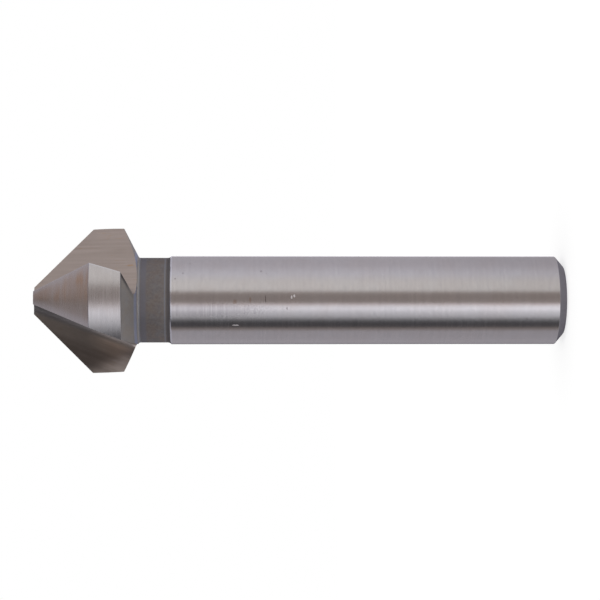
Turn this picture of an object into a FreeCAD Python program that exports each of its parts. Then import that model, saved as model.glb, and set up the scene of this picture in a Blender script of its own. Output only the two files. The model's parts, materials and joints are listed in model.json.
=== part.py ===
"""A countersink bit: a fluted conical head on a plain cylindrical shank, one bar of tool steel.

The bit stands on the flat end of its shank. The origin is the centre of that end face and +Z
runs along the axis to the tip. Angles are counted from +X towards +Y, which is also the way
that the bit turns when it cuts, seen from the tip. All sizes are in millimetres and degrees.
"""
import FreeCAD, Part
import math
import os

# Lengths along the axis, from the tip down to the end of the shank
overall_length = 60.0
land_length = 3.45
back_chamfer_length = 1.78
neck_length = 3.57
end_chamfer_length = 0.95

# Diameters and the angle of the point
head_diameter = 16.5
tip_diameter = 3.2
shank_diameter = 10.0
end_face_diameter = 7.8
point_angle = 90.0

# How far the neck is undercut below the shank, the roundings that the turning tool leaves,
# and the broken edge at the top of the shank
neck_undercut = 0.2
neck_top_fillet = 0.25
neck_bottom_fillet = 0.5
shank_edge_break = 0.08

# Flutes: a flat rake face and a flat floor that meet in a rounded corner
flute_count = 3
first_edge_angle = -60.1
radial_rake = 15.2
axial_rake = 16.6
flute_opening_angle = 74.7
web_at_tip = 0.46
flute_corner_radius = 0.5

# Relief ground behind each cutting edge, and the stock that is turned for that grinding
relief_offset = 0.17
grinding_stock = 0.3

# Share of the tooth pitch that one relief cut covers behind its cutting edge; the rest lies ahead,
# so that both ends of the cut fall in open flutes
sector_behind_edge = 0.75

# Room by which a cutter overshoots what it cuts
overrun = 2.0

head_radius = head_diameter / 2
tip_radius = tip_diameter / 2
shank_radius = shank_diameter / 2
neck_radius = shank_radius - neck_undercut
end_face_radius = end_face_diameter / 2
cone_slope = math.tan(math.radians(point_angle / 2))
cone_length = (head_radius - tip_radius) / cone_slope
corner_z = overall_length - cone_length
land_end_z = corner_z - land_length
neck_top_z = land_end_z - back_chamfer_length
shoulder_z = neck_top_z - neck_length
tooth_pitch = 360.0 / flute_count
floor_slope = (shank_radius - web_at_tip) / (overall_length - neck_top_z)
axis_point = FreeCAD.Vector(0, 0, 0)
axis_direction = FreeCAD.Vector(0, 0, 1)


def spoke(angle):
    """Unit vector square to the axis, at an angle in degrees from +X."""
    return FreeCAD.Vector(math.cos(math.radians(angle)), math.sin(math.radians(angle)), 0)


def in_section(radius, z):
    """Point of a lathe section: a radius and a height."""
    return FreeCAD.Vector(radius, 0, z)


def turned(edges, degrees=360.0):
    """Solid of revolution about the bit's axis from the edges of a closed section."""
    return Part.Face(Part.Wire(edges)).revolve(axis_point, axis_direction, degrees)


def polyline(points):
    """Straight edges through a list of points."""
    return [Part.makeLine(start, end) for start, end in zip(points, points[1:])]


def corner_fillet(before, corner, after, radius):
    """Arc that rounds a corner between two straight runs, and the points where it starts and ends."""
    back = (before - corner).normalize()
    ahead = (after - corner).normalize()
    half_angle = back.getAngle(ahead) / 2
    tangent = radius / math.tan(half_angle)
    start = corner + back * tangent
    end = corner + ahead * tangent
    bisector = (back + ahead).normalize()
    middle = corner + bisector * (radius / math.sin(half_angle) - radius)
    return Part.Arc(start, middle, end).toShape(), start, end


def shoulder_curve():
    """Concave arc from the neck out to the broken edge of the shank, and its two ends."""
    rise = shank_radius - shank_edge_break - neck_radius
    sweep = math.acos(1 - rise / neck_bottom_fillet)
    foot_z = shoulder_z + neck_bottom_fillet * math.sin(sweep)
    centre_radius = neck_radius + neck_bottom_fillet

    def on_arc(turn):
        radius = centre_radius - neck_bottom_fillet * math.cos(turn)
        return in_section(radius, foot_z - neck_bottom_fillet * math.sin(turn))

    start, end = on_arc(0), on_arc(sweep)
    return Part.Arc(start, on_arc(sweep / 2), end).toShape(), start, end


def turned_blank():
    """The bar as it leaves the lathe: shank, neck, and a head that still carries grinding stock."""
    stock_radius = head_radius + grinding_stock
    chamfer_run = back_chamfer_length / (head_radius - neck_radius)
    chamfer_top = in_section(stock_radius, land_end_z + grinding_stock * chamfer_run)
    neck_top = in_section(neck_radius, neck_top_z)
    shoulder_arc, shoulder_top, shoulder_end = shoulder_curve()
    neck_arc, arc_low, arc_high = corner_fillet(shoulder_top, neck_top, chamfer_top, neck_top_fillet)
    below = polyline([
        in_section(0, 0),
        in_section(end_face_radius, 0),
        in_section(shank_radius, end_chamfer_length),
        in_section(shank_radius, shoulder_end.z - shank_edge_break),
        shoulder_end,
    ])
    neck = polyline([shoulder_top, arc_low])
    above = polyline([
        arc_high,
        chamfer_top,
        in_section(stock_radius, corner_z),
        in_section(tip_radius + grinding_stock, overall_length),
        in_section(0, overall_length),
        in_section(0, 0),
    ])
    return turned(below + [shoulder_arc] + neck + [neck_arc] + above)


def relief_cutter():
    """What the relief grinding takes off the first tooth: all outside a cone and land set off centre."""
    low_z = neck_top_z - overrun
    high_z = overall_length + overrun
    reach = head_radius + overrun
    sector = turned(polyline([
        in_section(0, low_z),
        in_section(reach, low_z),
        in_section(reach, high_z),
        in_section(0, high_z),
        in_section(0, low_z),
    ]), tooth_pitch)
    sector.rotate(axis_point, axis_direction, first_edge_angle - tooth_pitch * sector_behind_edge)
    apex_z = overall_length + tip_radius / cone_slope
    ground = turned(polyline([
        in_section(0, low_z - overrun),
        in_section(head_radius, low_z - overrun),
        in_section(head_radius, corner_z),
        in_section(0, apex_z),
        in_section(0, low_z - overrun),
    ]))
    ground.translate(spoke(first_edge_angle + 90) * relief_offset)
    return sector.cut(ground)


def line_of_planes(normal_a, point_a, normal_b, point_b, z):
    """Point at height z on the line where two planes meet."""
    value_a = normal_a.dot(point_a) - normal_a.z * z
    value_b = normal_b.dot(point_b) - normal_b.z * z
    size = normal_a.x * normal_b.y - normal_a.y * normal_b.x
    x = (value_a * normal_b.y - value_b * normal_a.y) / size
    y = (normal_a.x * value_b - normal_b.x * value_a) / size
    return FreeCAD.Vector(x, y, z)


def flute_cutter():
    """The wheel's path through the first flute: a prism between the rake face and the floor."""
    rake_angle = first_edge_angle + radial_rake
    rake_normal = spoke(rake_angle + 90) - axis_direction * math.tan(math.radians(axial_rake))
    cutting_corner = spoke(first_edge_angle) * head_radius + axis_direction * corner_z
    floor_angle = rake_angle - 90 + flute_opening_angle
    floor_normal = spoke(floor_angle) + axis_direction * floor_slope
    floor_point = spoke(floor_angle) * web_at_tip + axis_direction * overall_length
    rake_normal.normalize()
    floor_normal.normalize()
    along = rake_normal.cross(floor_normal).normalize()
    if along.z > 0:
        along = along * -1
    corner = line_of_planes(rake_normal, cutting_corner, floor_normal, floor_point, overall_length)
    up_rake = (floor_normal - rake_normal * floor_normal.dot(rake_normal)).normalize()
    up_floor = (rake_normal - floor_normal * rake_normal.dot(floor_normal)).normalize()
    reach = head_diameter
    rake_end = corner + up_rake * reach
    floor_end = corner + up_floor * reach
    arc, on_rake, on_floor = corner_fillet(rake_end, corner, floor_end, flute_corner_radius)
    outline = [arc] + polyline([on_floor, floor_end, rake_end + up_floor * reach, rake_end, on_rake])
    section = Part.Face(Part.Wire(outline))
    section.translate(along * -reach)
    return section.extrude(along * (reach + overall_length - shoulder_z + reach))


def around_axis(cutter):
    """Copies of a cutter, one for each tooth, evenly spaced about the axis."""
    copies = []
    for number in range(flute_count):
        copy = cutter.copy()
        copy.rotate(axis_point, axis_direction, number * tooth_pitch)
        copies.append(copy)
    return copies


def countersink_bit():
    """The whole tool: turned, relief-ground on three teeth, then fluted."""
    bit = turned_blank()
    for cutter in around_axis(relief_cutter()):
        bit = bit.cut(cutter)
    for cutter in around_axis(flute_cutter()):
        bit = bit.cut(cutter)
    return bit


os.makedirs("parts", exist_ok=True)
bit = countersink_bit()
bit.exportStep("parts/countersink_bit.step")
print("valid", bit.isValid(), "solids", len(bit.Solids), "faces", len(bit.Faces), "volume", bit.Volume)
print("box", bit.BoundBox)
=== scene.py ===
# %% [markdown]
# # A countersink bit
# One bar of tool steel: a cone with three ground flutes, a short land, a dull neck and a bright
# shank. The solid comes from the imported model, which the first cell loads. This lesson dresses it:
# it sets up the camera and a light tent, makes the ground bit as a fine mesh, and gives each way
# of working the steel its own finish.

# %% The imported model
import json
import math

import bmesh
import bpy
from mathutils import Matrix, Vector


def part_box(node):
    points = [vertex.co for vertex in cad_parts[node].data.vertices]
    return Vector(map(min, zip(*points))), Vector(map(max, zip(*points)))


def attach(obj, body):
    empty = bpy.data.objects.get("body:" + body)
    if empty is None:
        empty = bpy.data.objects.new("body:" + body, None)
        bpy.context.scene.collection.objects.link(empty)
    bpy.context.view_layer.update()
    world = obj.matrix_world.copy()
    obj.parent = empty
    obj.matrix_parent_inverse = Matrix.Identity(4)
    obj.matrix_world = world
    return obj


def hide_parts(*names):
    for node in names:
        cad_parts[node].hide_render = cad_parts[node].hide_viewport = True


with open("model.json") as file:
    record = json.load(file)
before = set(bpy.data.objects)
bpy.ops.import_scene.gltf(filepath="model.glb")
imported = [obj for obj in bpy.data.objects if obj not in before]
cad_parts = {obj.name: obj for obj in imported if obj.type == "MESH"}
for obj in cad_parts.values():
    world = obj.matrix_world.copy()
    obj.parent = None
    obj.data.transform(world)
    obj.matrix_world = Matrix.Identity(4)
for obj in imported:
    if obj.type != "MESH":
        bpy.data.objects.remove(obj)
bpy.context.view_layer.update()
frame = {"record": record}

MM = 0.001
bit_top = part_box("countersink_bit")[1][2]
shank_mount = next(mount for mount in frame["record"]["mounts"] if mount["name"] == "shank")
print("the bit is", round(bit_top / MM, 2), "mm long, its shank", shank_mount["dims"])

# %% [markdown]
# ## The camera
# The bit stands on the end of its shank, but the photograph shows it lying down with the tip to
# the left. The bit could be laid down for the picture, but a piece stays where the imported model
# has it. So the camera lies on its side instead: the picture's right is the bit's way down, and
# the picture's top is +X. A long lens from a quarter of a metre gives the slight perspective of
# the photograph, where the near rim of the end chamfer still shows.

# %% Camera on its side
camera_place = Vector((0.02, -238.53, 38.008)) * MM
camera_target = Vector((0.02, 0.0, 29.894)) * MM
camera_lens = 126.0

ahead = (camera_target - camera_place).normalized()
down_the_bit = Vector((0, 0, -1))
picture_right = (down_the_bit - ahead * down_the_bit.dot(ahead)).normalized()
picture_top = picture_right.cross(ahead)
camera = bpy.data.objects.new("camera", bpy.data.cameras.new("camera"))
camera.data.lens = camera_lens
camera.matrix_world = Matrix.Translation(camera_place) @ Matrix(
    (picture_right, picture_top, -ahead)).transposed().to_4x4()
bpy.context.collection.objects.link(camera)
bpy.context.scene.camera = camera
bpy.context.scene.view_settings.view_transform = "Standard"
print("camera", round((camera_target - camera_place).length / MM, 1), "mm from the axis")

# %% [markdown]
# ## Nodes in one line each
# Materials and the world are trees of nodes, which could be wired by hand in the shader editor. In
# a script, one helper makes a node, sets it and wires it: an input that is given a socket is
# linked, and an input that is given a value keeps that value. The other helpers are the few nodes
# that come back all the time, so that a finish below reads like a list of what happened to the
# steel.

# %% One node
def add(tree, kind, inputs=None, **settings):
    """A node in a tree, with its settings, and with its inputs linked or set."""
    node = tree.nodes.new(kind)
    for name, value in settings.items():
        setattr(node, name, value)
    for key, value in (inputs or {}).items():
        if isinstance(value, bpy.types.NodeSocket):
            tree.links.new(value, node.inputs[key])
        else:
            node.inputs[key].default_value = value
    return node


def empty_tree(owner):
    """A material's or world's node tree with nothing in it."""
    owner.use_nodes = True
    owner.node_tree.nodes.clear()
    return owner.node_tree


print("made one call that makes, sets and wires a node")

# %% Sums on numbers and vectors
def math_node(tree, operation, first, second=0.0, third=0.0, clamp=False):
    """The result of one sum on up to three numbers."""
    node = add(tree, "ShaderNodeMath", {0: first, 1: second, 2: third},
               operation=operation, use_clamp=clamp)
    return node.outputs[0]


def product(tree, first, second):
    """Two numbers or masks multiplied."""
    return math_node(tree, "MULTIPLY", first, second)


def remap(tree, value, low, high, to_low=0.0, to_high=1.0):
    """A value moved smoothly from one range to another, and held at its ends."""
    node = add(tree, "ShaderNodeMapRange", {
        "Value": value, "From Min": low, "From Max": high, "To Min": to_low, "To Max": to_high,
    }, interpolation_type="SMOOTHSTEP")
    return node.outputs["Result"]


def vector_math(tree, operation, first, second=(0, 0, 0), result="Vector"):
    """A sum on two vectors or colours. Its result is a vector, or a number called Value."""
    node = add(tree, "ShaderNodeVectorMath", {0: first, 1: second}, operation=operation)
    return node.outputs[result]


def scaled(tree, vector, scale):
    """A vector or colour times a number."""
    return add(tree, "ShaderNodeVectorMath", {0: vector, "Scale": scale},
               operation="SCALE").outputs["Vector"]


def split(tree, vector):
    """The X, Y and Z of a vector."""
    return add(tree, "ShaderNodeSeparateXYZ", {0: vector}).outputs


print("sums on numbers and vectors are ready")

# %% Mixed colours
def mix_colour(tree, mask, first, second):
    """The first colour where the mask is 0, the second where it is 1."""
    factor, colour_a, colour_b, result = 0, 6, 7, 2
    inputs = {factor: mask, colour_a: first, colour_b: second}
    return add(tree, "ShaderNodeMix", inputs, data_type="RGBA").outputs[result]


def laid_over(tree, colour, mask, strength, second):
    """A colour with a share of a second one laid over it where the mask is 1."""
    return mix_colour(tree, product(tree, mask, strength), colour, second)


print("a colour can be mixed, or laid over another")

# %% [markdown]
# ## White all round
# The photograph has a plain white ground. More light on the object would turn any ground white,
# but it would burn out the pale steel as well. So the world is white to rays that see it, and a
# soft grey to rays that carry its light. The floor works the same way: it glows for the camera,
# and the rest of its white is light that falls on it, so the contact shadow of the bit still
# shows.

# %% World
def seen_directly(tree):
    """1 for rays from the camera and for mirror and glass rays, 0 for rays that light things."""
    path = add(tree, "ShaderNodeLightPath")
    seen = math_node(tree, "ADD", path.outputs["Is Camera Ray"], path.outputs["Is Glossy Ray"])
    return math_node(tree, "ADD", seen, path.outputs["Is Transmission Ray"], clamp=True)


ambient = (0.85, 0.85, 0.85, 1)
white = (1, 1, 1, 1)
world = bpy.data.worlds.new("white_studio")
bpy.context.scene.world = world
world_tree = empty_tree(world)
world_colour = mix_colour(world_tree, seen_directly(world_tree), ambient, white)
background = add(world_tree, "ShaderNodeBackground", {"Color": world_colour, "Strength": 1.0})
add(world_tree, "ShaderNodeOutputWorld", {"Surface": background.outputs[0]})
print("world: white to see, grey", ambient[0], "to light")

# %% Floor
floor_radius = 0.5
floor_sides = 96
floor_glow = 0.72
floor_grey = (0.37, 0.37, 0.37, 1)

bpy.ops.mesh.primitive_circle_add(vertices=floor_sides, radius=floor_radius, fill_type="NGON")
floor = bpy.context.object
floor.name = "floor"
floor_material = bpy.data.materials.new("pale_floor")
floor_tree = empty_tree(floor_material)
lit = add(floor_tree, "ShaderNodeBsdfDiffuse", {"Color": floor_grey})
glow_strength = product(floor_tree, seen_directly(floor_tree), floor_glow)
glow = add(floor_tree, "ShaderNodeEmission", {"Color": white, "Strength": glow_strength})
both = add(floor_tree, "ShaderNodeAddShader", {0: lit.outputs[0], 1: glow.outputs[0]})
add(floor_tree, "ShaderNodeOutputMaterial", {"Surface": both.outputs[0]})
floor.data.materials.append(floor_material)
floor.visible_glossy = False
floor.visible_shadow = False
print("floor", floor_radius, "m in radius")

# %% [markdown]
# ## A light tent
# Ground steel has hardly a colour of its own: it shows what stands round it. Lamps would give it
# small hot spots, so a studio puts such a tool in a tent of soft panels with a strip light and a
# black card or two. The panels could be separate planes, but then each one also lights the object.
# Here the tent is one large ball that only mirror rays see, so its panels can be moved about
# freely. Its brightness follows the direction round the bit, in degrees from the camera towards
# +X: pale panels above, a dark gap in front, the strip light just below it, and a black card under
# that.

# %% Panels round the bit
panels = [
    (184, 0.08, "cool"),
    (177, 0.14, "cool"),
    (172, 1.00, "cool"),
    (163, 0.96, "cool"),
    (157, 0.44, "cool"),
    (143, 0.57, "cool"),
    (100, 0.67, "cool"),
    (72, 0.81, "blue"),
    (48, 0.905, "plain"),
    (34, 0.925, "plain"),
    (26, 0.895, "plain"),
    (19, 0.38, "warm"),
    (11, 0.31, "warm"),
    (-6, 0.32, "warm"),
    (-12, 0.92, "rosy"),
    (-17, 1.16, "icy"),
    (-23, 1.28, "icy"),
    (-29, 0.94, "icy"),
    (-43, 0.62, "icy"),
    (-53, 0.19, "icy"),
    (-60, 0.08, "blue"),
    (-72, 0.08, "cool"),
    (-81, 0.30, "warm"),
    (-88, 0.50, "cool"),
    (-137, 0.52, "cool"),
    (-158, 0.38, "cool"),
    (-167, 0.08, "cool"),
]
tints = {
    "cool": (1.02, 0.98, 1.08),
    "icy": (1.00, 1.00, 1.08),
    "blue": (1.03, 1.02, 1.12),
    "plain": (1.02, 0.99, 0.99),
    "warm": (1.14, 0.99, 0.95),
    "rosy": (1.08, 0.98, 1.00),
}


def panel_colour(level, tint):
    """Colour of a panel: its level, tinted."""
    return [level * share for share in tints[tint]] + [1]


brightest = max(panels, key=lambda panel: panel[1])
print(len(panels), "panels, the brightest at", brightest[0], "degrees")

# %% Tent
tent_radius = 0.6
tent_segments = 96

bpy.ops.mesh.primitive_uv_sphere_add(
    segments=tent_segments, ring_count=tent_segments // 2, radius=tent_radius)
tent = bpy.context.object
tent.name = "light_tent"
tent_material = bpy.data.materials.new("soft_panels")
tent_tree = empty_tree(tent_material)
tent_place = add(tent_tree, "ShaderNodeTexCoord").outputs["Object"]
around = add(tent_tree, "ShaderNodeTexGradient", {"Vector": tent_place}, gradient_type="RADIAL")


def ramp_place(degrees):
    """Place of a direction on a radial gradient, which runs from 0 to 1 once round."""
    return ((degrees + 90) / 360) % 1


def colours_round(seam_colour, places):
    """Colours that follow the direction round the bit, from a list of degrees and colours."""
    ramp = add(tent_tree, "ShaderNodeValToRGB", {"Fac": around.outputs["Fac"]})
    stops = ramp.color_ramp.elements
    stops.remove(stops[1])
    stops[0].position = 0.0
    stops[0].color = seam_colour
    for degrees, colour in places:
        stops.new(ramp_place(degrees)).color = colour
    stops.new(1.0).color = seam_colour
    return ramp.outputs["Color"]


seam_level = 0.50
panel_ring = colours_round(panel_colour(seam_level, "cool"), [
    (degrees, panel_colour(level, tint)) for degrees, level, tint in panels])
print("tent", tent_radius, "m in radius")

# %% [markdown]
# ## The tent isn't the same all along
# The shank is brighter below its middle line and darker above it towards its end, so the ring of
# panels is multiplied by a second, gentler ring at that end. The cone and the end chamfer look
# elsewhere: the cone sees a warm dark patch overhead, a little off centre, and whatever looks down
# sees one pale tone, as from a table top. Each of these is a soft mask on the same ball.

# %% Ends of the tent
end_tones = [(-84, 0.95), (-74, 1.15), (-8, 1.15), (11, 1.0), (24, 0.88), (150, 0.88), (165, 0.97)]
end_seam = 0.95
end_starts = -0.05 * tent_radius
end_is_full = -0.14 * tent_radius
low_starts = -0.60 * tent_radius
low_is_full = -0.80 * tent_radius
low_share = 0.65
low_colour = (0.62, 0.60, 0.62, 1)
overhead_colour = (0.27, 0.23, 0.215, 1)
overhead_centre = Vector((-0.09, 0, 1)) * tent_radius
overhead_reach = 0.80 * tent_radius


def grey_tone(level):
    """A grey without a tint."""
    return (level, level, level, 1)


tent_xyz = split(tent_tree, tent_place)
end_ring = colours_round(grey_tone(end_seam), [
    (degrees, grey_tone(tone)) for degrees, tone in end_tones])
toward_end = remap(tent_tree, tent_xyz["Z"], end_starts, end_is_full)
end_tone = mix_colour(tent_tree, toward_end, white, end_ring)
panel_ring = vector_math(tent_tree, "MULTIPLY", panel_ring, end_tone)
low = remap(tent_tree, tent_xyz["Z"], low_starts, low_is_full, 0.0, low_share)
sides_colour = mix_colour(tent_tree, low, panel_ring, low_colour)

from_overhead = vector_math(tent_tree, "DISTANCE", tent_place, overhead_centre, "Value")
below_centre = math_node(tent_tree, "SUBTRACT", overhead_centre.x, tent_xyz["X"])
steeper_side = math_node(tent_tree, "MAXIMUM", below_centre, 0.0)
from_overhead = math_node(tent_tree, "ADD", from_overhead, steeper_side)
in_reaches = math_node(tent_tree, "DIVIDE", from_overhead, overhead_reach)
overhead = math_node(tent_tree, "SUBTRACT", 1.0, in_reaches, clamp=True)
tent_colour = mix_colour(tent_tree, overhead, sides_colour, overhead_colour)
tent_glow = add(tent_tree, "ShaderNodeEmission", {"Color": tent_colour, "Strength": 1.0})
add(tent_tree, "ShaderNodeOutputMaterial", {"Surface": tent_glow.outputs[0]})
tent.data.materials.append(tent_material)
tent.visible_camera = False
tent.visible_diffuse = False
tent.visible_transmission = False
tent.visible_shadow = False
print("the tent's tone changes at", len(end_tones), "places towards the shank's end")

# %% [markdown]
# ## The turned blank
# The bit starts as a bar turned on a lathe. A Screw modifier would turn one section the same way
# all round, but the head isn't quite round: behind each cutting edge it is ground about a centre a
# little off the axis, which is the relief that lets it cut. So the mesh is made in columns round
# the axis, and each column has its own section, a list of points of radius and height. The corners
# get the tiny roundings of real steel, and each run of the section names its finish.

# %% Sizes of the bit in millimetres
overall_length = bit_top / MM
shank_radius = shank_mount["dims"]["r_mm"]
head_radius = 8.25
tip_radius = 1.6
neck_undercut = 0.2
end_face_radius = 3.9
end_chamfer_length = 0.95
land_length = 3.45
back_chamfer_length = 1.78
neck_length = 3.57

neck_radius = shank_radius - neck_undercut
corner_z = overall_length - (head_radius - tip_radius)
land_end_z = corner_z - land_length
neck_top_z = land_end_z - back_chamfer_length
shoulder_z = neck_top_z - neck_length
shank_edge_break = 0.08
neck_bottom_fillet = 0.5
neck_top_fillet = 0.25
print("head", 2 * head_radius, "mm across, cone from", round(corner_z, 2), "to", overall_length)

# %% Relief behind each edge
teeth = 3
pitch = 360 / teeth
first_edge = -60.1
relief_offset = 0.17
sector_behind_edge = 0.75
sector_start = first_edge - sector_behind_edge * pitch


def ground_radius(radius, degrees):
    """Radius at an angle of a circle that relief grinding has set off centre."""
    tooth = math.floor((degrees - sector_start) / pitch)
    offset_angle = math.radians(degrees - (first_edge + 90 + tooth * pitch))
    across = relief_offset * math.sin(offset_angle)
    return relief_offset * math.cos(offset_angle) + math.sqrt(radius ** 2 - across ** 2)


for behind in (0, 30, 60, 90):
    fall = head_radius - ground_radius(head_radius, first_edge - behind)
    print(behind, "degrees behind the edge the land has fallen", round(fall, 3), "mm")

# %% Points of an arc
def rounded(before, corner, after, radius, steps):
    """Points of the arc that rounds a corner between two straight runs."""
    back = (before - corner).normalized()
    onward = (after - corner).normalized()
    half = back.angle(onward) / 2
    start = corner + back * (radius / math.tan(half))
    end = corner + onward * (radius / math.tan(half))
    centre = corner + (back + onward).normalized() * (radius / math.sin(half))
    turn = (start - centre).angle_signed(end - centre)
    arc = []
    for step in range(steps + 1):
        arm = start - centre
        arm.rotate(Matrix.Rotation(-turn * step / steps, 2))
        arc.append(centre + arm)
    return arc


def shoulder_arc(steps):
    """Points of the concave arc from the broken edge of the shank up to the neck."""
    rise = shank_radius - shank_edge_break - neck_radius
    sweep = math.acos(1 - rise / neck_bottom_fillet)
    foot_z = shoulder_z + neck_bottom_fillet * math.sin(sweep)
    points = []
    for step in range(steps + 1):
        turn = sweep * (1 - step / steps)
        radius = neck_radius + neck_bottom_fillet * (1 - math.cos(turn))
        points.append(Vector((radius, foot_z - neck_bottom_fillet * math.sin(turn))))
    return points


print("the shoulder rises", round(shoulder_arc(1)[1].y - shoulder_arc(1)[0].y, 3), "mm")

# %% Section of one column
corner_rounding = 0.07
edge_rounding = 0.04
edge_steps = 3
corner_steps = 4
fillet_steps = 6


def section(degrees):
    """Groups of points up one column, from the end face to the tip, each with its finish."""
    land = ground_radius(head_radius, degrees)
    tip = ground_radius(tip_radius, degrees)
    chamfer_run = (land_end_z - neck_top_z) / (head_radius - neck_radius)
    end_rim = Vector((end_face_radius, 0))
    shank_low = Vector((shank_radius, end_chamfer_length))
    shank_high = Vector((shank_radius, shoulder_z - shank_edge_break))
    neck_high = Vector((neck_radius, neck_top_z))
    land_low = Vector((land, neck_top_z + (land - neck_radius) * chamfer_run))
    land_high = Vector((land, corner_z))
    tip_rim = Vector((tip, overall_length))
    shoulder = shoulder_arc(fillet_steps)
    end_centre = Vector((0, 0))
    tip_centre = Vector((0, overall_length))
    return [
        ("end_chamfer", rounded(end_centre, end_rim, shank_low, edge_rounding, edge_steps)),
        ("ground_steel", rounded(end_rim, shank_low, shank_high, edge_rounding, edge_steps)),
        ("ground_steel", rounded(shank_low, shank_high, shoulder[0], edge_rounding, edge_steps)),
        ("hardened_skin", shoulder),
        ("back_chamfer", rounded(shoulder[-1], neck_high, land_low, neck_top_fillet, fillet_steps)),
        ("ground_steel", rounded(neck_high, land_low, land_high, corner_rounding, corner_steps)),
        ("cone_grinding", rounded(land_low, land_high, tip_rim, corner_rounding, corner_steps)),
        ("cone_grinding", rounded(land_high, tip_rim, tip_centre, edge_rounding, edge_steps)),
    ]


print(len(section(first_edge)), "groups of points in a section")

# %% Column of points
support_gap = 0.12
longest_bare_run = 4 * support_gap


def column_points(degrees):
    """The section's points, and two more near the ends of each long run that hold the shading."""
    groups = section(degrees)
    points = []
    finishes = []
    for (finish, group), (_, following) in zip(groups, groups[1:] + [groups[-1]]):
        points += group
        finishes += [finish] * len(group)
        run = following[0] - group[-1]
        if run.length > longest_bare_run:
            step = run.normalized() * support_gap
            points += [group[-1] + step, following[0] - step]
            finishes += [finish] * 2
    return points, finishes


row_finishes = column_points(first_edge)[1]
print(len(row_finishes), "points in a column")

# %% [markdown]
# ## From columns to a mesh
# The columns become one closed mesh: rings of quads from the end face to the tip, and one flat
# face over each end. It is made in millimetres, because the cutting that follows works best when
# the smallest edge isn't a tiny number, and comes to metres at the end.

# %% Blank mesh
columns = 240
finish_names = [
    "ground_steel", "cone_grinding", "hardened_skin",
    "back_chamfer", "end_chamfer", "flute_grinding",
]
materials = {name: bpy.data.materials.new(name) for name in finish_names}


def mesh_from(shape, name):
    """A mesh from a finished bmesh, with its faces outwards and all the finishes on its list."""
    bmesh.ops.recalc_face_normals(shape, faces=shape.faces)
    mesh = bpy.data.meshes.new(name)
    shape.to_mesh(mesh)
    shape.free()
    for finish in finish_names:
        mesh.materials.append(materials[finish])
    return mesh


def turned_mesh(name):
    """Closed mesh of the blank, with a material for each row."""
    shape = bmesh.new()
    rings = []
    for column in range(columns):
        degrees = sector_start + 360 * (column + 0.5) / columns
        points, _ = column_points(degrees)
        turn = math.radians(degrees)
        rings.append([
            shape.verts.new((point.x * math.cos(turn), point.x * math.sin(turn), point.y))
            for point in points
        ])
    for left, right in zip(rings, rings[1:] + rings[:1]):
        for row, finish in enumerate(row_finishes[:-1]):
            face = shape.faces.new((left[row], right[row], right[row + 1], left[row + 1]))
            face.material_index = finish_names.index(finish)
    end_face = shape.faces.new([ring[0] for ring in reversed(rings)])
    end_face.material_index = finish_names.index("end_chamfer")
    tip_face = shape.faces.new([ring[-1] for ring in rings])
    tip_face.material_index = finish_names.index("cone_grinding")
    return mesh_from(shape, name)


blank = bpy.data.objects.new("blank", turned_mesh("blank"))
bpy.context.collection.objects.link(blank)
print("blank:", len(blank.data.polygons), "faces")

# %% [markdown]
# ## The flute cutter
# Each flute is the path of a grinding wheel: a flat rake face and a flat floor that meet in a
# rounded corner. Both faces lean, so the flute grows shallower towards the neck. It could be
# modelled face by face on the blank, but then the relief and the roundings would have to be cut by
# hand. A cutter is simpler and is how the real flute comes about. It is a prism between two
# planes. It also carries the wheel's own directions as an attribute on its corners, so that the
# scratches of the finish can run along the flute later.

# %% Planes of the first flute
radial_rake = 15.2
axial_rake = 16.6
flute_opening = 74.7
web_at_tip = 0.46


def spoke(degrees):
    """Unit vector square to the axis, at an angle from +X."""
    return Vector((math.cos(math.radians(degrees)), math.sin(math.radians(degrees)), 0))


up = Vector((0, 0, 1))
rake_angle = first_edge + radial_rake
floor_angle = rake_angle - 90 + flute_opening
floor_slope = (shank_radius - web_at_tip) / (overall_length - neck_top_z)
rake_normal = (spoke(rake_angle + 90) - up * math.tan(math.radians(axial_rake))).normalized()
floor_normal = (spoke(floor_angle) + up * floor_slope).normalized()
rake_point = spoke(first_edge) * head_radius + up * corner_z
floor_point = spoke(floor_angle) * web_at_tip + up * overall_length
along = rake_normal.cross(floor_normal).normalized()
if along.z > 0:
    along.negate()
up_rake = (floor_normal - rake_normal * floor_normal.dot(rake_normal)).normalized()
up_floor = (rake_normal - floor_normal * rake_normal.dot(floor_normal)).normalized()
planes = Matrix((rake_normal, floor_normal, up))
flute_corner = planes.inverted() @ Vector((
    rake_normal.dot(rake_point), floor_normal.dot(floor_point), overall_length))
print("the flute runs", round(math.degrees(along.angle(-up)), 1), "degrees off the axis")

# %% Outline of the cutter
cutter_reach = 20.0
flute_corner_radius = 0.5
cutter_steps = 10
inward = (up_rake + up_floor).normalized()


def cutter_outline():
    """Points round the cutter's end: the rounded corner, then three far corners."""
    half = up_rake.angle(up_floor) / 2
    tangent = flute_corner_radius / math.tan(half)
    centre = flute_corner + inward * (flute_corner_radius / math.sin(half))
    from_rake = flute_corner + up_rake * tangent - centre
    from_floor = flute_corner + up_floor * tangent - centre
    sweep = from_rake.angle(from_floor)
    outline = []
    for step in range(cutter_steps + 1):
        part = step / cutter_steps
        first = math.sin((1 - part) * sweep) / math.sin(sweep)
        last = math.sin(part * sweep) / math.sin(sweep)
        outline.append(centre + from_rake * first + from_floor * last)
    for far_corner in (up_floor, up_floor + up_rake, up_rake):
        outline.append(flute_corner + far_corner * cutter_reach)
    return outline


print(len(cutter_outline()), "points in the cutter's outline")

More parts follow.
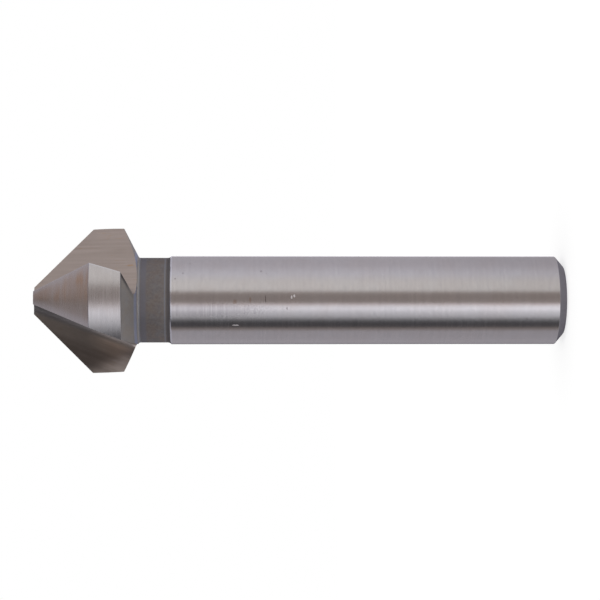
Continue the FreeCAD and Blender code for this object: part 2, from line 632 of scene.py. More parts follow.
# %% Cutter mesh
def cutter_mesh(name):
    """Closed prism between the rake face and the floor, with the wheel's directions on it."""
    outline = cutter_outline()
    shape = bmesh.new()
    top = [shape.verts.new(point - along * cutter_reach) for point in outline]
    bottom = [shape.verts.new(point + along * 2 * cutter_reach) for point in outline]
    shape.faces.new(top)
    shape.faces.new(bottom[::-1])
    for here, there in zip(range(len(outline)), list(range(1, len(outline))) + [0]):
        shape.faces.new((top[here], top[there], bottom[there], bottom[here]))
    for face in shape.faces:
        face.material_index = finish_names.index("flute_grinding")
    mesh = mesh_from(shape, name)
    grain = mesh.attributes.new("grain", "FLOAT_VECTOR", "CORNER")
    for loop in mesh.loops:
        place = mesh.vertices[loop.vertex_index].co - flute_corner
        grain.data[loop.index].vector = (
            place.dot(inward), place.dot(inward.cross(along)), place.dot(along))
    return mesh


cutter = bpy.data.objects.new("flute_cutter", cutter_mesh("flute_cutter"))
bpy.context.collection.objects.link(cutter)
print("cutter:", len(cutter.data.polygons), "faces")

# %% [markdown]
# ## Three flutes by Geometry Nodes
# The three flutes are alike and stand evenly round the axis. Three Boolean modifiers could cut
# them, but a node tree says the rule itself: it puts the one cutter on as many points as there are
# teeth, turns each by its share of the circle, cuts them from the blank, and scales the result to
# metres.

# %% Tree that grinds the flutes
flutes = bpy.data.node_groups.new("grind_flutes", "GeometryNodeTree")
flutes.is_modifier = True
flutes.interface.new_socket("Geometry", in_out="INPUT", socket_type="NodeSocketGeometry")
cutter_input = flutes.interface.new_socket("Cutter", in_out="INPUT", socket_type="NodeSocketObject")
teeth_input = flutes.interface.new_socket("Teeth", in_out="INPUT", socket_type="NodeSocketInt")
unit_input = flutes.interface.new_socket("Unit", in_out="INPUT", socket_type="NodeSocketFloat")
flutes.interface.new_socket("Geometry", in_out="OUTPUT", socket_type="NodeSocketGeometry")

given = add(flutes, "NodeGroupInput")
one_cutter = add(flutes, "GeometryNodeObjectInfo", {"Object": given.outputs["Cutter"]})
tooth_points = add(flutes, "GeometryNodePoints", {"Count": given.outputs["Teeth"]})
number = add(flutes, "GeometryNodeInputIndex")
step_turn = math_node(flutes, "DIVIDE", 2 * math.pi, given.outputs["Teeth"])
rotation = add(flutes, "ShaderNodeCombineXYZ", {"Z": product(flutes, number.outputs[0], step_turn)})
cutters = add(flutes, "GeometryNodeInstanceOnPoints", {
    "Points": tooth_points.outputs[0],
    "Instance": one_cutter.outputs["Geometry"],
    "Rotation": rotation.outputs[0],
})
cut = add(flutes, "GeometryNodeMeshBoolean", {
    "Mesh 1": given.outputs["Geometry"],
    "Mesh 2": cutters.outputs[0],
}, operation="DIFFERENCE", solver="EXACT")
in_metres = add(flutes, "GeometryNodeTransform", {
    "Geometry": cut.outputs["Mesh"],
    "Scale": add(flutes, "ShaderNodeCombineXYZ", {
        key: given.outputs["Unit"] for key in ("X", "Y", "Z")}).outputs[0],
})
made_real = add(flutes, "GeometryNodeRealizeInstances", {"Geometry": in_metres.outputs[0]})
finish_number = add(flutes, "GeometryNodeInputMaterialIndex")
is_flute = add(flutes, "FunctionNodeCompare", {
    "A": finish_number.outputs[0],
    "B": finish_names.index("flute_grinding"),
}, data_type="INT", operation="EQUAL")
finished = add(flutes, "GeometryNodeSetMaterial", {
    "Geometry": made_real.outputs[0],
    "Selection": is_flute.outputs["Result"],
    "Material": materials["flute_grinding"],
})
add(flutes, "NodeGroupOutput", {"Geometry": finished.outputs[0]})
print("grinding tree:", len(flutes.nodes), "nodes")

# %% Cut and keep a plain mesh
smooth_below = 25

grinding = blank.modifiers.new("grind_flutes", "NODES")
grinding.node_group = flutes
grinding[cutter_input.identifier] = cutter
grinding[teeth_input.identifier] = teeth
grinding[unit_input.identifier] = MM
depsgraph = bpy.context.evaluated_depsgraph_get()
bit_mesh = bpy.data.meshes.new_from_object(
    blank.evaluated_get(depsgraph), preserve_all_data_layers=True, depsgraph=depsgraph)
bit_mesh.name = "ground_bit"
bit_mesh.shade_smooth()
bit_mesh.set_sharp_from_angle(angle=math.radians(smooth_below))
bit = bpy.data.objects.new("ground_bit", bit_mesh)
bpy.context.collection.objects.link(bit)
for spare in (blank, cutter):
    bpy.data.objects.remove(spare)
bit_mesh.calc_loop_triangles()
print("ground bit:", len(bit_mesh.loop_triangles), "triangles,",
      [slot.name for slot in bit_mesh.materials], [a.name for a in bit_mesh.attributes])

# %% [markdown]
# ## What grinding and hardening leave
# Five effects come back in more than one finish: the fine lines of a grinding wheel, soft
# mottling, scattered specks, a single mark at one place, and the strip of metal beside a cutting
# edge. They could be wired into each material again, but a node group is built once and placed
# with its own values. The groups work in millimetres, so their sizes can be read off the real bit,
# and they put out masks and heights only. A noise seldom leaves the range from 0.3 to 0.7, so each
# group stretches that range to fill 0 to 1.

# %% Group helpers
def new_group(name, inputs, outputs):
    """An empty shader group with named sockets, and the sockets that it is given."""
    group = bpy.data.node_groups.new(name, "ShaderNodeTree")
    for socket_name, kind, value in inputs:
        socket = group.interface.new_socket(
            socket_name, in_out="INPUT", socket_type="NodeSocket" + kind)
        socket.default_value = value
    for socket_name in outputs:
        group.interface.new_socket(socket_name, in_out="OUTPUT", socket_type="NodeSocketFloat")
    return group, add(group, "NodeGroupInput").outputs


def divided(tree, vector, size):
    """A vector divided by a size in millimetres."""
    return scaled(tree, vector, math_node(tree, "DIVIDE", 1.0, size))


def noise(tree, place, scale=1.0, detail=3.0, roughness=0.6, distortion=0.0):
    """A soft noise around one half."""
    node = add(tree, "ShaderNodeTexNoise", {
        "Vector": place, "Scale": scale, "Detail": detail, "Roughness": roughness,
        "Distortion": distortion})
    return node.outputs["Fac"]


print("group helpers are ready")

# %% Grinding lines
# A noise that is squeezed across the lines and stretched along them, weaker in some patches.
patch_range = (0.35, 0.65)
broad_range = (0.32, 0.68)
fine_range = (0.30, 0.70)
fine_scale = 3.4
weakest_lines = 0.3

lines_group, given_lines = new_group("grinding_lines", [
    ("Vector", "Vector", (0, 0, 0)), ("Per mm", "Vector", (1, 1, 1)), ("Patch", "Float", 1.5)],
    ["Lines", "Fine"])
squeezed = vector_math(lines_group, "MULTIPLY", given_lines["Vector"], given_lines["Per mm"])
patch_place = divided(lines_group, given_lines["Vector"], given_lines["Patch"])
patchy = noise(lines_group, patch_place, detail=2.0, roughness=0.5)
line_strength = remap(lines_group, patchy, *patch_range, weakest_lines, 1.0)


def faded(value):
    """A value drawn towards one half where the lines are weak."""
    from_half = math_node(lines_group, "SUBTRACT", value, 0.5)
    return math_node(lines_group, "MULTIPLY_ADD", from_half, line_strength, 0.5)


broad_noise = noise(lines_group, squeezed, detail=2.0, roughness=0.5)
broad = remap(lines_group, broad_noise, *broad_range)
fine_noise = noise(lines_group, squeezed, fine_scale, detail=3.0, roughness=0.7)
finer = remap(lines_group, fine_noise, *fine_range)
add(lines_group, "NodeGroupOutput", {"Lines": faded(broad), "Fine": faded(finer)})
print("grinding lines:", len(lines_group.nodes), "nodes")

# %% Mottling
mottle_range = (0.36, 0.66)
mottle_group, given_mottle = new_group(
    "mottling", [("Vector", "Vector", (0, 0, 0)), ("Size", "Float", 1.0)], ["Mask"])
mottle_place = divided(mottle_group, given_mottle["Vector"], given_mottle["Size"])
mottles = noise(mottle_group, mottle_place, detail=4.0, roughness=0.62, distortion=0.4)
add(mottle_group, "NodeGroupOutput", {"Mask": remap(mottle_group, mottles, *mottle_range)})
print("mottling:", len(mottle_group.nodes), "nodes")

# %% Specks
# Space is cut into cells, and a share of the cells, chosen by lot, holds a round dot. The dot fades
# in from its radius, and is full from a part of it inwards.
dot_fade = (1.0, 0.4)
speck_group, given_specks = new_group("specks", [
    ("Vector", "Vector", (0, 0, 0)), ("Spacing", "Float", 2.0),
    ("Share", "Float", 0.3), ("Radius", "Float", 0.1)], ["Mask"])
speck_place = divided(speck_group, given_specks["Vector"], given_specks["Spacing"])
cells = add(speck_group, "ShaderNodeTexVoronoi", {"Vector": speck_place, "Scale": 1.0})
speck_distance = product(speck_group, cells.outputs["Distance"], given_specks["Spacing"])
speck_reach = math_node(speck_group, "DIVIDE", speck_distance, given_specks["Radius"])
speck_dot = remap(speck_group, speck_reach, *dot_fade)
lot = add(speck_group, "ShaderNodeSeparateColor", {0: cells.outputs["Color"]}).outputs["Red"]
chosen = math_node(speck_group, "LESS_THAN", lot, given_specks["Share"])
add(speck_group, "NodeGroupOutput", {"Mask": product(speck_group, speck_dot, chosen)})
print("specks:", len(speck_group.nodes), "nodes")

# %% One mark
# The distance from a centre, measured in the mark's own sizes, with a noise that frays its edge.
fray_per_mm = 7.0
fray_depth = 1.3
mark_fade = (1.0, 0.55)

mark_group, given_mark = new_group("one_mark", [
    ("Vector", "Vector", (0, 0, 0)),
    ("Centre", "Vector", (0, 0, 0)),
    ("Size", "Vector", (1, 1, 1)),
], ["Mask"])
from_centre = vector_math(mark_group, "SUBTRACT", given_mark["Vector"], given_mark["Centre"])
in_sizes = vector_math(mark_group, "DIVIDE", from_centre, given_mark["Size"])
mark_reach = vector_math(mark_group, "LENGTH", in_sizes, result="Value")
ragged = noise(mark_group, given_mark["Vector"], fray_per_mm, detail=2.0, roughness=0.5)
fray = math_node(mark_group, "MULTIPLY_ADD", ragged, fray_depth, -fray_depth / 2)
frayed = math_node(mark_group, "ADD", mark_reach, fray)
add(mark_group, "NodeGroupOutput", {"Mask": remap(mark_group, frayed, *mark_fade)})
print("one mark:", len(mark_group.nodes), "nodes")

# %% Edges of the teeth
# A tooth ends at two planes: the rake face of the flute ahead of it, where it cuts, and the floor
# of the flute behind it, at its heel. Both are known, so the distance from each gives a mask.
edge_fade = (1.0, 0.3)
edge_group, given_edge = new_group("tooth_edges", [
    ("Vector", "Vector", (0, 0, 0)), ("Width", "Float", 0.1)], ["Cutting edge", "Heel"])


def plane_distance(normal, place, turn):
    """Distance of the shaded point from a flute's plane that is turned about the axis."""
    turned_normal = normal.copy()
    turned_normal.rotate(Matrix.Rotation(turn, 3, "Z"))
    along_normal = vector_math(
        edge_group, "DOT_PRODUCT", given_edge["Vector"], turned_normal, "Value")
    return math_node(edge_group, "SUBTRACT", along_normal, normal.dot(place))


def near_plane(distance, other_distance):
    """1 close to one plane of a flute, on the flute's side of its other plane."""
    in_widths = math_node(edge_group, "DIVIDE", math_node(edge_group, "ABSOLUTE", distance),
                          given_edge["Width"])
    flute_side = math_node(edge_group, "GREATER_THAN", other_distance)
    return product(edge_group, remap(edge_group, in_widths, *edge_fade), flute_side)


cutting_edges = 0.0
heels = 0.0
for tooth in range(teeth):
    tooth_turn = math.radians(tooth * pitch)
    off_rake = plane_distance(rake_normal, rake_point, tooth_turn)
    off_floor = plane_distance(floor_normal, floor_point, tooth_turn)
    cutting_edges = math_node(edge_group, "MAXIMUM", cutting_edges, near_plane(off_rake, off_floor))
    heels = math_node(edge_group, "MAXIMUM", heels, near_plane(off_floor, off_rake))
add(edge_group, "NodeGroupOutput", {"Cutting edge": cutting_edges, "Heel": heels})
print("edges of the teeth:", len(edge_group.nodes), "nodes")

# %% [markdown]
# ## From groups to a surface
# A finish places the groups with its own sizes and ends in one Principled shader. The shader stays
# in the material itself, where an export can read it, so this helper adds it there with the bump.

# %% Material helpers
def use(tree, group, inputs, output=0):
    """One output of a group that is placed in a material."""
    return add(tree, "ShaderNodeGroup", inputs, node_tree=group).outputs[output]


def millimetres(tree):
    """Object coordinates in millimetres."""
    return scaled(tree, add(tree, "ShaderNodeTexCoord").outputs["Object"], 1 / MM)


def surface(tree, colour, roughness, height, depth, metallic=1.0, edge_tint=white):
    """Principled shader and output, with a bump whose depth is in millimetres."""
    bump = add(tree, "ShaderNodeBump", {"Height": height, "Distance": depth * MM, "Strength": 1.0})
    shader = add(tree, "ShaderNodeBsdfPrincipled", {
        "Base Color": colour, "Roughness": roughness, "Metallic": metallic,
        "Specular Tint": edge_tint, "Normal": bump.outputs["Normal"]})
    add(tree, "ShaderNodeOutputMaterial", {"Surface": shader.outputs[0]})


print("groups:", [group.name for group in bpy.data.node_groups])

# %% [markdown]
# ## Ground steel
# The shank and the land are ground while the bit turns, so their lines run round the axis. An
# anisotropic shader would stretch the highlight, but it shows no single line. Here the lines are a
# noise that changes quickly along Z and slowly along X and Y, which leaves no seam, and a second
# one adds short flecks. Together they vary the tone, the roughness and a bump of a few thousandths
# of a millimetre.

# %% Ground steel: lines, flecks and tint
steel_light = (0.525, 0.508, 0.502, 1)
steel_dark = (0.482, 0.469, 0.466, 1)
steel_brown = (0.40, 0.30, 0.235, 1)
tint_strength = 0.08

ground = empty_tree(materials["ground_steel"])
ground_mm = millimetres(ground)
ground_line_sizes = {"Vector": ground_mm, "Per mm": (0.05, 0.05, 3.4), "Patch": 1.2}
fleck_sizes = {"Vector": ground_mm, "Per mm": (0.9, 0.9, 2.4), "Patch": 0.9}
broad_lines = use(ground, lines_group, ground_line_sizes, "Lines")
fine_lines = use(ground, lines_group, ground_line_sizes, "Fine")
flecks = use(ground, lines_group, fleck_sizes, "Lines")
ground_patches = use(ground, mottle_group, {"Vector": ground_mm, "Size": 4.0})
half_and_half = math_node(ground, "MULTIPLY_ADD", flecks, 0.5, product(ground, broad_lines, 0.5))
ground_colour = mix_colour(ground, half_and_half, steel_dark, steel_light)
ground_colour = laid_over(ground, ground_colour, ground_patches, tint_strength, steel_brown)
print("ground steel: lines", ground_line_sizes["Per mm"], "a millimetre")

# %% [markdown]
# ## Marks on the ground steel
# A tool that has been handled isn't even. Dark specks are scattered at random, but the larger
# stains, nicks and scuffs that the photograph shows are placed one by one, as an angle and a
# height on the shank. They could be painted on an image, but a list of places stays sharp at any
# size. The edges at the shoulder and along the teeth are worn, and carry a painted highlight.

# %% Ground steel: specks, and painted highlights on worn edges
speck_colour = (0.16, 0.14, 0.14, 1)
edge_wear_and_highlight = (0.66, 0.67, 0.72, 1)
speck_sizes = {"Vector": ground_mm, "Spacing": 2.4, "Share": 0.28, "Radius": 0.11}
speck_strength = 0.6
shoulder_reach = (0.26, 0.10)
shoulder_highlight = 0.7
edge_width = 0.16
land_edge_highlight = 0.3

ground_specks = use(ground, speck_group, speck_sizes)
ground_colour = laid_over(ground, ground_colour, ground_specks, speck_strength, speck_colour)
ground_height = split(ground, ground_mm)["Z"]
# Painted highlight: a pale colour over the worn edge at the shoulder and along the land's cutting
# edge.
from_shoulder = math_node(ground, "SUBTRACT", ground_height, shoulder_z)
to_shoulder = math_node(ground, "ABSOLUTE", from_shoulder)
at_shoulder = remap(ground, to_shoulder, *shoulder_reach)
ground_colour = laid_over(ground, ground_colour, at_shoulder, shoulder_highlight, edge_wear_and_highlight)
land_edge = use(ground, edge_group, {"Vector": ground_mm, "Width": edge_width})
ground_colour = laid_over(ground, ground_colour, land_edge, land_edge_highlight, edge_wear_and_highlight)
print("a speck in", round(speck_sizes["Share"] * 100), "of 100 cells")

# %% Ground steel: stains and nicks
# Each has an azimuth in degrees, a height and a size in millimetres, a strength and a colour.
nicks = [
    (1.2, 33.9, (0.50, 0.4, 0.07), 0.75, speck_colour),
    (-10.9, 31.5, (0.24, 0.3, 0.10), 0.55, speck_colour),
    (40.4, 34.39, (0.11, 0.11, 0.10), 0.8, speck_colour),
    (28.6, 43.97, (0.12, 0.12, 0.11), 0.6, speck_colour),
    (37.0, 43.09, (0.12, 0.12, 0.10), 0.6, speck_colour),
    (54.9, 42.33, (0.10, 0.10, 0.10), 0.6, speck_colour),
    (-1.9, 37.3, (0.30, 0.4, 0.30), 0.5, steel_brown),
    (0.6, 35.6, (0.40, 0.4, 0.14), 0.5, steel_brown),
]


def mark_on_shank(azimuth, height, size):
    """Mask of a mark on the shank, at an angle from the camera's side towards +X."""
    turn = math.radians(azimuth)
    centre = Vector((shank_radius * math.sin(turn), -shank_radius * math.cos(turn), height))
    return use(ground, mark_group, {"Vector": ground_mm, "Centre": centre, "Size": size})


for azimuth, height, size, strength, colour in nicks:
    nick = mark_on_shank(azimuth, height, size)
    ground_colour = laid_over(ground, ground_colour, nick, strength, colour)
print(len(nicks), "stains and nicks")

# %% Ground steel: a darkened, streaked patch and bright scuffs
# The patch is streaked, because it is weaker where the grinding lines are light.
darkened_colour = (0.33, 0.31, 0.315, 1)
darkened_place = (-12.5, 41.0, (0.95, 2.0, 8.5))
darkened_strength = 0.60
streak_contrast = 0.35
bare_metal = (0.95, 0.93, 0.92, 1)
scuff_strength = 0.55
scuff_places = [
    (-33.9, 37.18, (0.09, 0.2, 0.42)),
    (4.1, 31.0, (0.21, 0.3, 0.10)),
    (5.5, 30.71, (0.16, 0.3, 0.12)),
]

# A patch that only darkens the shank in streaks; no cause on the steel is given for it.
darkened = mark_on_shank(*darkened_place)
darkened_streaks = math_node(ground, "MULTIPLY_ADD", broad_lines, -streak_contrast, darkened_strength)
ground_colour = laid_over(ground, ground_colour, darkened, darkened_streaks, darkened_colour)
scuffs = 0.0
for azimuth, height, size in scuff_places:
    scuffs = math_node(ground, "MAXIMUM", scuffs, mark_on_shank(azimuth, height, size))
ground_colour = laid_over(ground, ground_colour, scuffs, scuff_strength, bare_metal)
print(len(scuff_places), "scuffs and one wiped patch")

# %% Ground steel: roughness and relief
# Lines are rougher than the metal between them, scuffs are rougher still, and so is the land.
ground_rough_range = (0.15, 0.22)
rougher_scuffs = 0.5
rougher_land = 0.10
line_relief = 0.25
ground_depth = 0.0034

line_rough = remap(ground, fine_lines, 0.0, 1.0, *ground_rough_range)
scuffed_rough = math_node(ground, "MULTIPLY_ADD", scuffs, rougher_scuffs, line_rough)
land_rough = remap(ground, ground_height, shoulder_z, neck_top_z, 0.0, rougher_land)
ground_rough = math_node(ground, "ADD", scuffed_rough, land_rough)
ground_relief = math_node(ground, "MULTIPLY_ADD", fine_lines, line_relief, flecks)
surface(ground, ground_colour, ground_rough, ground_relief, ground_depth)
print("ground steel:", len(ground.nodes), "nodes")

# %% [markdown]
# ## Ground cone
# The cone is ground the same way with a coarser wheel. Heat has left it brown in rings, most of
# all a little behind the cutting edge and near the land. A ramp from tip to land would make an
# even belt of it, so the tint is a product of three things: the height, the angle within the
# tooth, and lines of its own. The corner to the land is a thin dark line, and a painted highlight
# brightens the cutting edge and a strip beside the heel.

# %% Ground cone: lines
cone_light = (0.57, 0.54, 0.535, 1)
cone_dark = (0.52, 0.485, 0.475, 1)

cone = empty_tree(materials["cone_grinding"])
cone_mm = millimetres(cone)
cone_xyz = split(cone, cone_mm)
cone_height = cone_xyz["Z"]
cone_line_sizes = {"Vector": cone_mm, "Per mm": (0.03, 0.03, 2.6), "Patch": 1.8}
cone_lines = use(cone, lines_group, cone_line_sizes, "Lines")
cone_fine = use(cone, lines_group, cone_line_sizes, "Fine")
cone_colour = mix_colour(cone, cone_lines, cone_dark, cone_light)
print("cone: lines", cone_line_sizes["Per mm"], "a millimetre")

# %% Ground cone: heat
cone_brown = (0.52, 0.37, 0.27, 1)
heated_turn = first_edge - 18
heat_sizes = {"Vector": cone_mm, "Per mm": (0.2, 0.2, 1.1), "Patch": 3.0}
heat_at_tip = 0.6
heat_elsewhere = 0.15
heat_heights = (overall_length, corner_z + 0.5)
heated_range = (0.6, 0.97)

cone_turn = math_node(cone, "ARCTAN2", cone_xyz["Y"], cone_xyz["X"])
from_heated = math_node(cone, "SUBTRACT", cone_turn, math.radians(heated_turn))
heated = math_node(cone, "COSINE", product(cone, from_heated, teeth))
near_land = remap(cone, cone_height, *heat_heights, heat_at_tip, 1.0)
heat = product(cone, near_land, remap(cone, heated, *heated_range, heat_elsewhere, 1.0))
heat = product(cone, heat, use(cone, lines_group, heat_sizes, "Lines"))
cone_colour = mix_colour(cone, heat, cone_colour, cone_brown)
print("the cone is brownest", first_edge - heated_turn, "degrees behind each edge")

# %% Ground cone: tip, corner, edges and relief
tip_shade = (0.87, 0.85, 0.83, 1)
corner_grey = (0.34, 0.34, 0.375, 1)
corner_strength = 0.6
cone_edge_highlight = 0.25
heel_width = 1.05
heel_highlight = 0.33
cone_rough_range = (0.22, 0.30)
cone_depth = 0.0012
tip_heights = (overall_length - 3.0, overall_length - 0.8)
corner_heights = (corner_z + 0.16, corner_z + 0.04)

near_tip = remap(cone, cone_height, *tip_heights)
tip_tone = mix_colour(cone, near_tip, white, tip_shade)
cone_colour = vector_math(cone, "MULTIPLY", cone_colour, tip_tone)
at_corner = remap(cone, cone_height, *corner_heights)
cone_colour = laid_over(cone, cone_colour, at_corner, corner_strength, corner_grey)
# Painted highlight along the cone's cutting edge and in a strip beside the heel.
cone_edge = use(cone, edge_group, {"Vector": cone_mm, "Width": edge_width})
cone_colour = laid_over(cone, cone_colour, cone_edge, cone_edge_highlight, edge_wear_and_highlight)
beside_heel = use(cone, edge_group, {"Vector": cone_mm, "Width": heel_width}, "Heel")
cone_colour = laid_over(cone, cone_colour, beside_heel, heel_highlight, edge_wear_and_highlight)
cone_rough = remap(cone, cone_fine, 0.0, 1.0, *cone_rough_range)
surface(cone, cone_colour, cone_rough, cone_fine, cone_depth)
print("cone:", len(cone.nodes), "nodes")

# %% [markdown]
# ## Ground flutes
# A wheel that runs along the flute leaves its lines along it. Object coordinates know nothing of
# that direction, and a UV map would have to be unwrapped after the cut, so this finish reads the
# wheel's own directions from the attribute on the cutter. It is duller and browner than the shank,
# with thin brown streaks where coolant has dried.

# %% Flute: lines, streaks and a stain
flute_light = (0.383, 0.325, 0.284, 1)
flute_dark = (0.323, 0.273, 0.235, 1)
flute_brown = (0.36, 0.22, 0.11, 1)
stain_place = {"Centre": (3.9, -3.14, 49.0), "Size": (0.13, 0.3, 0.9)}
streak_strength = 0.7
streak_range = (0.72, 1.0)
stain_strength = 0.5

flute = empty_tree(materials["flute_grinding"])
flute_mm = millimetres(flute)
wheel = add(flute, "ShaderNodeAttribute", attribute_name="grain").outputs["Vector"]
flute_line_sizes = {"Vector": wheel, "Per mm": (3.2, 3.2, 0.09), "Patch": 1.6}
flute_lines = use(flute, lines_group, flute_line_sizes, "Lines")
flute_fine = use(flute, lines_group, flute_line_sizes, "Fine")
flute_patches = use(flute, mottle_group, {"Vector": flute_mm, "Size": 2.2})
flute_colour = mix_colour(flute, flute_lines, flute_dark, flute_light)
flute_streaks = product(flute, flute_patches, remap(flute, flute_fine, *streak_range))
flute_colour = laid_over(flute, flute_colour, flute_streaks, streak_strength, flute_brown)
stain = use(flute, mark_group, {"Vector": flute_mm, **stain_place})
flute_colour = laid_over(flute, flute_colour, stain, stain_strength, flute_brown)
print("flute: lines", flute_line_sizes["Per mm"], "a millimetre along the wheel")

# %% [markdown]
# ## Painted shade on a flute
# The rake face isn't one tone: its tones are painted light and shade. The rounded corner is
# painted dark and is dull. A strip beside the corner carries a painted highlight, the middle of
# the face is painted dark again, and its outer rim paler. All of it is darker towards the tip. A
# dirt mask from the mesh's hollows could darken the corner, but not the rest. So the finish takes
# the distance from the corner from the wheel's directions, and the distance to the rim from the
# radius. Broad bands along the wheel's path break the tones up.

# %% Flute: painted light and shade on the rake face
open_tip_shade = (0.50, 0.54, 0.58, 1)
open_low_shade = (0.62, 0.66, 0.70, 1)
corner_tip_shade = (0.77, 0.86, 0.93, 1)
corner_low_shade = (1.08, 1.10, 1.11, 1)
rim_shade = (0.91, 0.95, 1.02, 1)
rim_lean = 0.55
rim_reach = (8.8, 7.1)
near_corner_reach = (3.6, 1.2)
lower_heights = (corner_z + 1.2, land_end_z + 0.8)


def length_across(vector):
    """Length of a vector seen along its Z."""
    flattened = vector_math(flute, "MULTIPLY", vector, (1, 1, 0))
    return vector_math(flute, "LENGTH", flattened, result="Value")


flute_height = split(flute, flute_mm)["Z"]
from_corner = length_across(wheel)
from_axis = length_across(flute_mm)
lower_down = remap(flute, flute_height, *lower_heights)
near_corner = remap(flute, from_corner, *near_corner_reach)
open_shade = mix_colour(flute, lower_down, open_tip_shade, open_low_shade)
corner_shade = mix_colour(flute, lower_down, corner_tip_shade, corner_low_shade)
inner_shade = mix_colour(flute, near_corner, open_shade, corner_shade)
below_corner = math_node(flute, "SUBTRACT", corner_z, flute_height)
outward = math_node(flute, "MULTIPLY_ADD", below_corner, rim_lean, from_axis)
inward_of_rim = remap(flute, outward, *rim_reach)
rake_shade = mix_colour(flute, inward_of_rim, rim_shade, inner_shade)
print("rake face: darkest", open_tip_shade[:3], "and palest", corner_low_shade[:3])

# %% Flute: bands and the painted highlight strip
band_sizes = {"Vector": wheel, "Per mm": (0.9, 0.9, 0.08)}
band_range = (0.85, 1.10)
highlight_strip_reach = (1.8, 0.8)
highlight_strip_gain = 0.6

bands = use(flute, lines_group, band_sizes, "Lines")
band_shade = remap(flute, bands, 0.0, 1.0, *band_range)
# Painted highlight: a paler strip beside the corner, low down on the rake face.
highlight_strip = product(flute, lower_down, remap(flute, from_corner, *highlight_strip_reach))
band_shade = product(flute, band_shade, math_node(flute, "MULTIPLY_ADD", highlight_strip, highlight_strip_gain, 1.0))
rake_face = math_node(flute, "LESS_THAN", split(flute, wheel)["Y"], 0.0)
flute_shade = mix_colour(flute, rake_face, white, scaled(flute, rake_shade, band_shade))
flute_colour = vector_math(flute, "MULTIPLY", flute_colour, flute_shade)
print("bands", band_sizes["Per mm"], "a millimetre")

# %% Flute: painted shade in the corner, roughness and relief
painted_corner_shade = (0.17, 0.157, 0.158, 1)
painted_corner_shade_at_tip = (0.13, 0.12, 0.122, 1)
dark_reach = (1.3, 0.6)
dark_low_down = 0.75
corner_rough = 0.6
corner_metallic = 0.4
flute_rough_range = (0.28, 0.36)
flute_depth = 0.0016
run_out_heights = (neck_top_z + 0.2, land_end_z - 0.7)
cone_heights = (corner_z - 1.3, corner_z + 3.0)
darkest_heights = (corner_z + 2.5, overall_length - 1.2)

# Painted shade darkens each flute's rounded corner, which is also rougher and less metallic.
above_neck = remap(flute, flute_height, *run_out_heights)
on_the_cone = remap(flute, flute_height, *cone_heights, dark_low_down, 1.0)
in_corner = product(flute, remap(flute, from_corner, *dark_reach), above_neck)
in_corner = product(flute, in_corner, on_the_cone)
toward_tip = remap(flute, flute_height, *darkest_heights)
corner_shade_colour = mix_colour(flute, toward_tip, painted_corner_shade, painted_corner_shade_at_tip)
flute_colour = mix_colour(flute, in_corner, flute_colour, corner_shade_colour)
flute_rough = remap(flute, flute_fine, 0.0, 1.0, *flute_rough_range)
flute_rough = math_node(flute, "MAXIMUM", flute_rough, product(flute, in_corner, corner_rough))
flute_metallic = remap(flute, in_corner, 0.0, 1.0, 1.0, corner_metallic)
surface(flute, flute_colour, flute_rough, flute_fine, flute_depth, flute_metallic)
print("flutes:", len(flute.nodes), "nodes")

# %% [markdown]
# ## Hardened skin
# The neck and the chamfers aren't ground. They keep the skin of the hardening bath, a dull, dark,
# slightly mottled grey, with rings of tone at listed heights: a light one at the top of the neck
# is a painted highlight, and a dark one in the shoulder's hollow is painted shade. The rings are
# bands of colour, not grooves in the mesh. Along the edges where a flute runs out in the chamfer,
# a thin dark band is painted shade. One function makes all three skins, because only their
# colours and roughness differ, and the chamfers' lighter and bluer colours are painted light.

# %% Rings that the lathe tool left
# Each has a height, half its width, and a colour.
# The light ring at the top of the neck is a painted highlight, the dark one at the shoulder painted
# shade.
tone_and_light_rings = [
    (land_end_z - 0.05, 0.10, (0.12, 0.12, 0.13, 1)),
    (neck_top_z + 0.25, 0.20, (0.42, 0.455, 0.60, 1)),
    (neck_top_z - 0.15, 0.11, (0.27, 0.28, 0.31, 1)),
    (neck_top_z - 0.60, 0.45, (0.185, 0.182, 0.205, 1)),
    (shoulder_z + 0.57, 0.12, (0.24, 0.245, 0.27, 1)),
    (shoulder_z + 0.20, 0.28, (0.108, 0.102, 0.105, 1)),
]
print(len(tone_and_light_rings), "rings between", round(shoulder_z, 2), "and", round(land_end_z, 2), "mm")

# %% Hardened skin
skin_metallic = 0.6
skin_depth = 0.003
rough_spread = 0.06
patch_size = 1.3
grain_size = 0.26
patch_strength = 0.8
ring_strength = 0.8
ring_core = 0.4
flute_edge_shade_width = 0.6
flute_edge_shade_strength = 0.95
flute_edge_shade_heights = (neck_top_z + 0.3, land_end_z - 0.2)
dull_edge = (0.35, 0.35, 0.37, 1)
flute_edge_shade_colour = (0.11, 0.105, 0.105, 1)


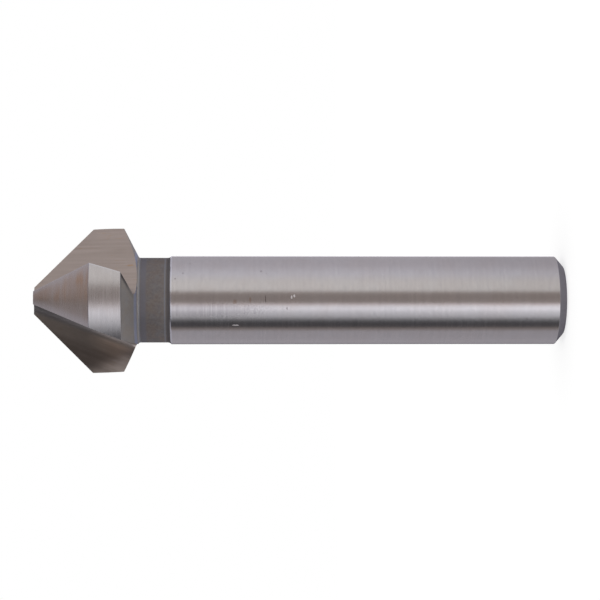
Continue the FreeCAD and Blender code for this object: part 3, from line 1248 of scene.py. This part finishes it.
def hardened(name, dark, light, rough, brown):
    """A dull skin with fine grain, brown patches, and rings of tone and painted light."""
    skin = empty_tree(materials[name])
    skin_mm = millimetres(skin)
    patches = use(skin, mottle_group, {"Vector": skin_mm, "Size": patch_size})
    grain = use(skin, mottle_group, {"Vector": skin_mm, "Size": grain_size})
    colour = mix_colour(skin, grain, dark, light)
    browned = vector_math(skin, "MULTIPLY", colour, brown)
    colour = laid_over(skin, colour, patches, patch_strength, browned)
    skin_height = split(skin, skin_mm)["Z"]
    for ring_z, half_width, shade in tone_and_light_rings:
        away = math_node(skin, "ABSOLUTE", math_node(skin, "SUBTRACT", skin_height, ring_z))
        ring = remap(skin, away, half_width, ring_core * half_width)
        colour = laid_over(skin, colour, ring, ring_strength, shade)
    # Painted shade: a dark band along the flute edges on the chamfer, fading towards the neck.
    flute_edge_shade = use(skin, edge_group, {"Vector": skin_mm, "Width": flute_edge_shade_width})
    toward_land = remap(skin, skin_height, *flute_edge_shade_heights, 0.0, flute_edge_shade_strength)
    colour = laid_over(skin, colour, flute_edge_shade, toward_land, flute_edge_shade_colour)
    skin_rough = remap(skin, grain, 0.0, 1.0, rough - rough_spread, rough + rough_spread)
    surface(skin, colour, skin_rough, grain, skin_depth, skin_metallic, dull_edge)
    print(name, len(skin.nodes), "nodes")


print("a skin's light and dark grains are", grain_size, "mm")

# %% The three skins
# Each has a name, a dark and a light colour, a roughness, and the tint of its brown patches.
# All three are one skin; the chamfers' lighter and bluer colours are painted light, lit copies of
# it.
skins = [
    ("hardened_skin", (0.175, 0.162, 0.162, 1), (0.225, 0.212, 0.208, 1), 0.62, (1.05, 0.95, 0.85)),
    ("back_chamfer", (0.39, 0.37, 0.36, 1), (0.435, 0.42, 0.41, 1), 0.55, (1.02, 0.97, 0.90)),
    ("end_chamfer", (0.295, 0.29, 0.315, 1), (0.33, 0.32, 0.355, 1), 0.50, (1.0, 0.99, 0.97)),
]
for name, dark, light, rough, brown in skins:
    hardened(name, dark, light, rough, brown)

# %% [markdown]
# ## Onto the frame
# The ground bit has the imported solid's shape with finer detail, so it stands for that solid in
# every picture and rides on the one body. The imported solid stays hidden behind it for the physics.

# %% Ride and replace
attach(bit, "root")
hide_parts("countersink_bit")
print(bit.name, "rides on root")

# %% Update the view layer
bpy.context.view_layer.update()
